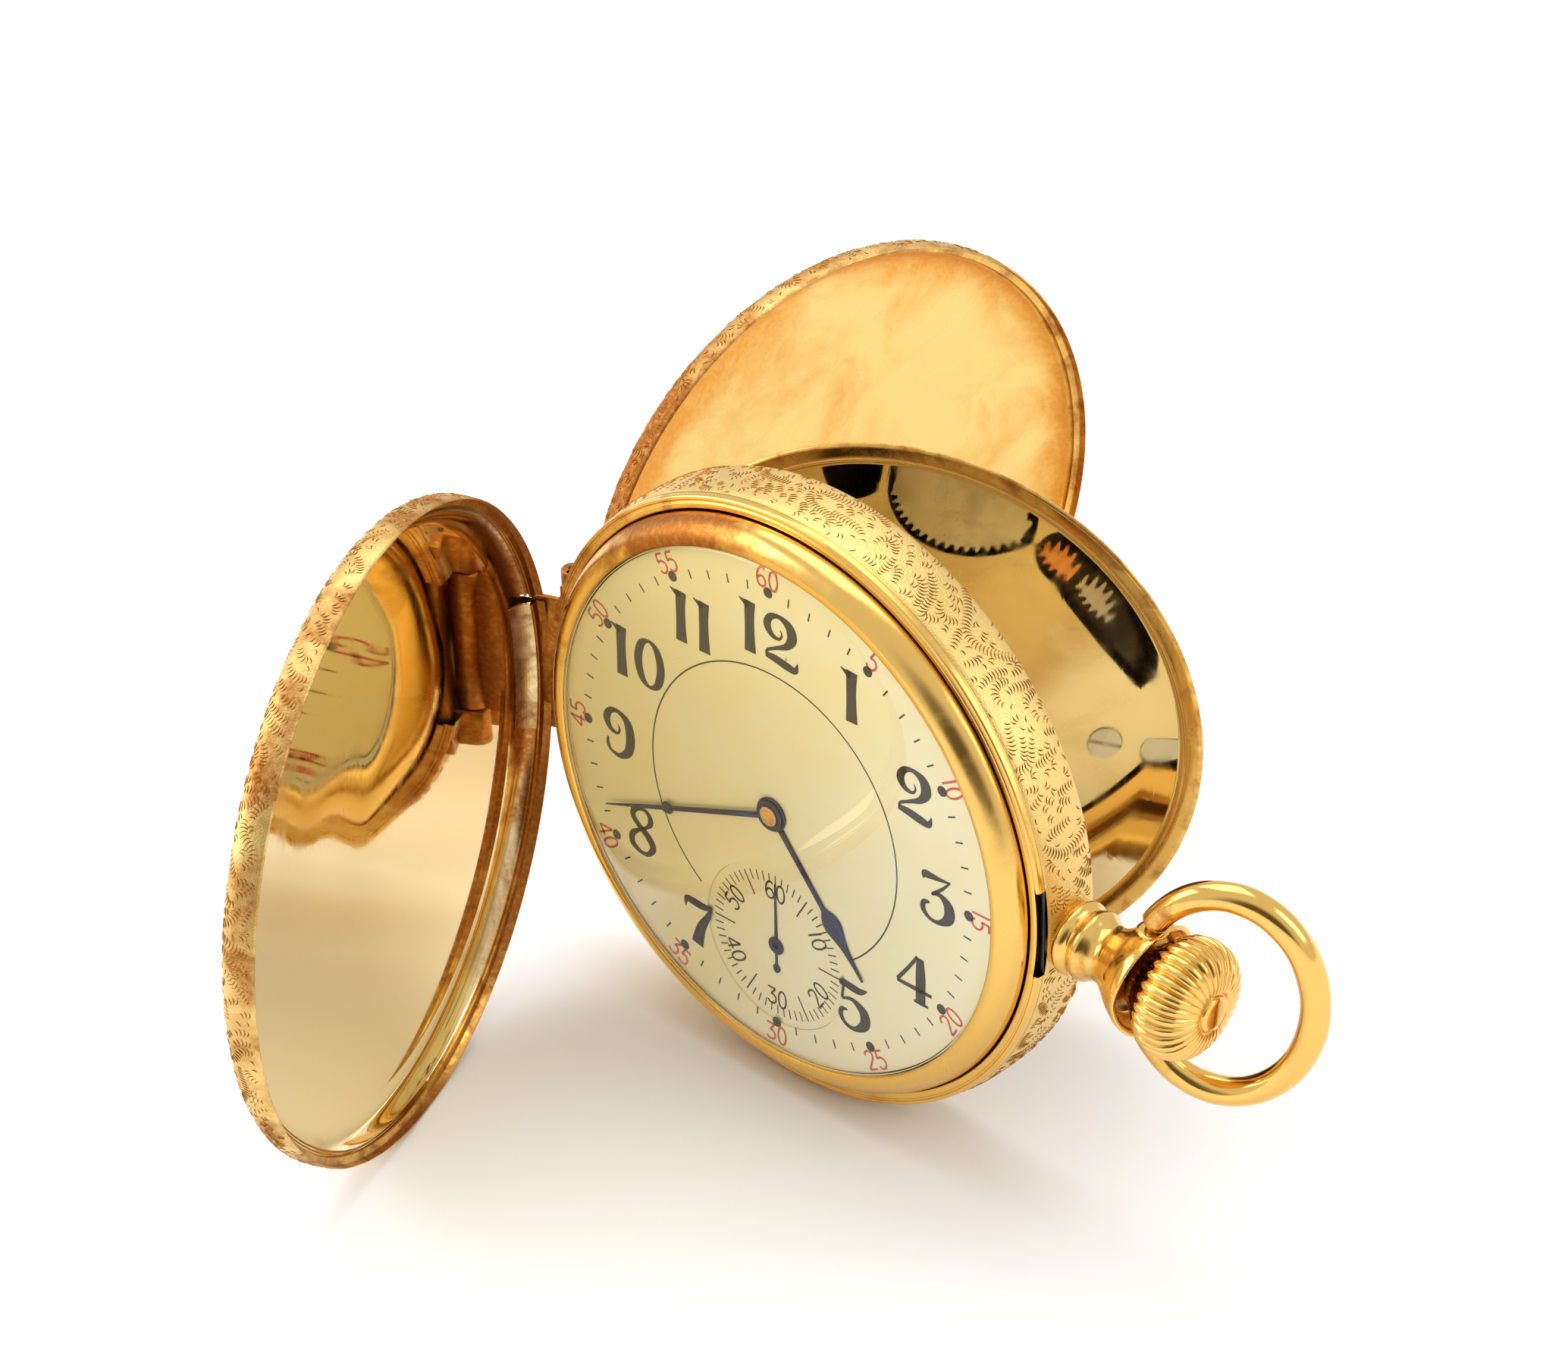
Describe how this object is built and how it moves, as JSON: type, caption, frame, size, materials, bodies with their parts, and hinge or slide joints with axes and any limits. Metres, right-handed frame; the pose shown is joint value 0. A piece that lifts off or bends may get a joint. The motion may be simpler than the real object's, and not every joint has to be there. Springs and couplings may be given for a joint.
{
  "type": "hunter pocket watch",
  "caption": "Hunter-case pocket watch standing open: hinged front and back covers, inner dust cover, swinging bow, crown, dial with sunk seconds, going train and balance.",
  "frame": {"origin": "where the axis of the hour and minute hands meets the face of the dial", "axes": "+X along the pendant (three o'clock), +Z to twelve o'clock, the dial faces -Y; the watch stands on the six o'clock edge of its band"},
  "size_m": [0.0729, 0.1001, 0.0496],
  "materials": {
    "gold": "polished, warm gold filled",
    "gold_engraved": "engraved gold on a matted ground",
    "crystal": "clear polished glass",
    "enamel": "glossy cream enamel with fired numerals",
    "blued_steel": "heat-blued, polished",
    "steel": "fine grained, polished bevels",
    "dark_steel": "dull hardened steel",
    "gilt": "damascened gilt plate",
    "brass": "gilt wheel brass",
    "copper": "copper-coloured wheel",
    "jewel": "polished ruby"
  },
  "bodies": {
    "case": {"case_center": "gold_engraved", "bezel": "gold", "crystal": "crystal", "front_hinge_pin": "gold", "back_hinge_pin": "gold", "lift_spring": "dark_steel", "pendant": "gold", "dial": "enamel", "seconds_dial": "enamel", "pillar_plate": "gilt", "top_plate": "gilt", "balance_cock": "gilt", "train_jewels": "jewel", "balance_jewel": "jewel", "plate_screws": "steel", "case_screws": "steel", "cock_screw": "steel", "mainspring": "blued_steel"},
    "front_lid": {"front_cover": "gold_engraved"},
    "back_lid": {"back_cover": "gold_engraved"},
    "dust_cover": {"cuvette": "gold"},
    "bow_ring": {"bow": "gold"},
    "push_collar": {"stem_collar": "steel"},
    "stem_and_crown": {"crown": "gold", "winding_stem": "steel"},
    "catch": {"lock_catch": "dark_steel"},
    "minute_arbor": {"minute_hand": "blued_steel", "cannon_pinion": "steel", "centre_wheel": "brass"},
    "hour_pipe": {"hour_hand": "blued_steel", "hour_wheel": "brass"},
    "minute_work": {"minute_wheel": "brass"},
    "barrel_drum": {"barrel": "brass"},
    "winding_arbor": {"barrel_arbor": "steel", "ratchet_wheel": "steel", "ratchet_screws": "steel"},
    "intermediate": {"winding_wheel": "copper"},
    "crown_gear": {"crown_wheel": "steel"},
    "click_pawl": {"click": "steel"},
    "third_arbor": {"third_wheel": "brass"},
    "fourth_arbor": {"fourth_wheel": "brass", "seconds_hand": "blued_steel"},
    "escape_arbor": {"escape_wheel": "steel"},
    "fork": {"pallet_fork": "steel"},
    "balance": {"balance_wheel": "brass", "hairspring": "blued_steel"},
    "regulator_arm": {"regulator": "steel"}
  },
  "joints": [
    {"name": "front_cover_hinge", "type": "hinge", "parent": "case", "child": "front_lid", "pos_m": [-0.02447, 0.00418, 0], "axis": [0, 0, 1], "range_deg": [-21.4, 68.6]},
    {"name": "back_cover_hinge", "type": "hinge", "parent": "case", "child": "back_lid", "pos_m": [-0.0252, 0.0071, 0], "axis": [0, 0, 1], "range_deg": [-81.5, 13.5]},
    {"name": "cuvette_hinge", "type": "hinge", "parent": "case", "child": "dust_cover", "pos_m": [-0.0252, 0.0071, 0], "axis": [0, 0, 1], "range_deg": [-24.6, 4.2]},
    {"name": "bow_swing", "type": "hinge", "parent": "case", "child": "bow_ring", "pos_m": [0.03173, 0.00445, -0.00155], "axis": [0.0489, 0, 0.9988], "range_deg": [-85, 50]},
    {"name": "crown_push", "type": "slide", "parent": "case", "child": "push_collar", "axis": [0.9988, 0, -0.0489], "range_m": [-0.0005, 0], "stiffness_N_per_m": 1200},
    {"name": "crown_wind", "type": "hinge", "parent": "push_collar", "child": "stem_and_crown", "pos_m": [0, 0.00445, 0], "axis": [0.9988, 0, -0.0489], "continuous": true},
    {"name": "catch_slide", "type": "slide", "parent": "case", "child": "catch", "axis": [0.9988, 0, -0.0489], "range_m": [-0.0005, 0]},
    {"name": "seconds_spin", "type": "hinge", "parent": "case", "child": "fourth_arbor", "pos_m": [0, 0, -0.01197], "axis": [0, 1, 0], "continuous": true},
    {"name": "minute_spin", "type": "hinge", "parent": "case", "child": "minute_arbor", "pos_m": [0, 0, 0], "axis": [0, 1, 0], "continuous": true},
    {"name": "hour_spin", "type": "hinge", "parent": "case", "child": "hour_pipe", "pos_m": [0, 0, 0], "axis": [0, 1, 0], "continuous": true},
    {"name": "minute_wheel_spin", "type": "hinge", "parent": "case", "child": "minute_work", "pos_m": [0.0032, 0, -0.0024], "axis": [0, 1, 0], "continuous": true},
    {"name": "barrel_spin", "type": "hinge", "parent": "case", "child": "barrel_drum", "pos_m": [0.00445, 0, 0.01069], "axis": [0, 1, 0], "continuous": true},
    {"name": "third_spin", "type": "hinge", "parent": "case", "child": "third_arbor", "pos_m": [0.0056, 0, -0.00646], "axis": [0, 1, 0], "continuous": true},
    {"name": "escape_spin", "type": "hinge", "parent": "case", "child": "escape_arbor", "pos_m": [-0.0062, 0, -0.01424], "axis": [0, 1, 0], "continuous": true},
    {"name": "ratchet_spin", "type": "hinge", "parent": "case", "child": "winding_arbor", "pos_m": [0.00445, 0, 0.01069], "axis": [0, 1, 0], "continuous": true},
    {"name": "intermediate_spin", "type": "hinge", "parent": "case", "child": "intermediate", "pos_m": [0.0114, 0, 0.00375], "axis": [0, 1, 0], "continuous": true},
    {"name": "crown_wheel_spin", "type": "hinge", "parent": "case", "child": "crown_gear", "pos_m": [0.01486, 0, 0.00115], "axis": [0, 1, 0], "continuous": true},
    {"name": "click_lift", "type": "hinge", "parent": "case", "child": "click_pawl", "pos_m": [-0.0046, 0, 0.0126], "axis": [0, 1, 0], "range_deg": [-12, 0], "stiffness_Nm_per_rad": 0.0002},
    {"name": "fork_rock", "type": "hinge", "parent": "case", "child": "fork", "pos_m": [-0.0086, 0, -0.01055], "axis": [0, 1, 0], "range_deg": [-4, 4]},
    {"name": "balance_swing", "type": "hinge", "parent": "case", "child": "balance", "pos_m": [-0.0113, 0, -0.0052], "axis": [0, 1, 0], "range_deg": [-135, 135], "stiffness_Nm_per_rad": 0.000001},
    {"name": "regulator_turn", "type": "hinge", "parent": "case", "child": "regulator_arm", "pos_m": [-0.0113, 0, -0.0052], "axis": [0, 1, 0], "range_deg": [-15, 15]}
  ],
  "couplings": [
    {"joint": "cuvette_hinge", "follows": "back_cover_hinge", "ratio": 0.30184},
    {"joint": "catch_slide", "follows": "crown_push", "ratio": 1},
    {"joint": "third_spin", "follows": "seconds_spin", "ratio": -0.13333},
    {"joint": "minute_spin", "follows": "seconds_spin", "ratio": 0.016667},
    {"joint": "hour_spin", "follows": "seconds_spin", "ratio": 0.0013889},
    {"joint": "minute_wheel_spin", "follows": "seconds_spin", "ratio": -0.0055556},
    {"joint": "barrel_spin", "follows": "seconds_spin", "ratio": -0.0043011},
    {"joint": "escape_spin", "follows": "seconds_spin", "ratio": -10},
    {"joint": "ratchet_spin", "follows": "crown_wind", "ratio": 0.1125},
    {"joint": "intermediate_spin", "follows": "crown_wind", "ratio": -0.225},
    {"joint": "crown_wheel_spin", "follows": "crown_wind", "ratio": 0.7}
  ]
}
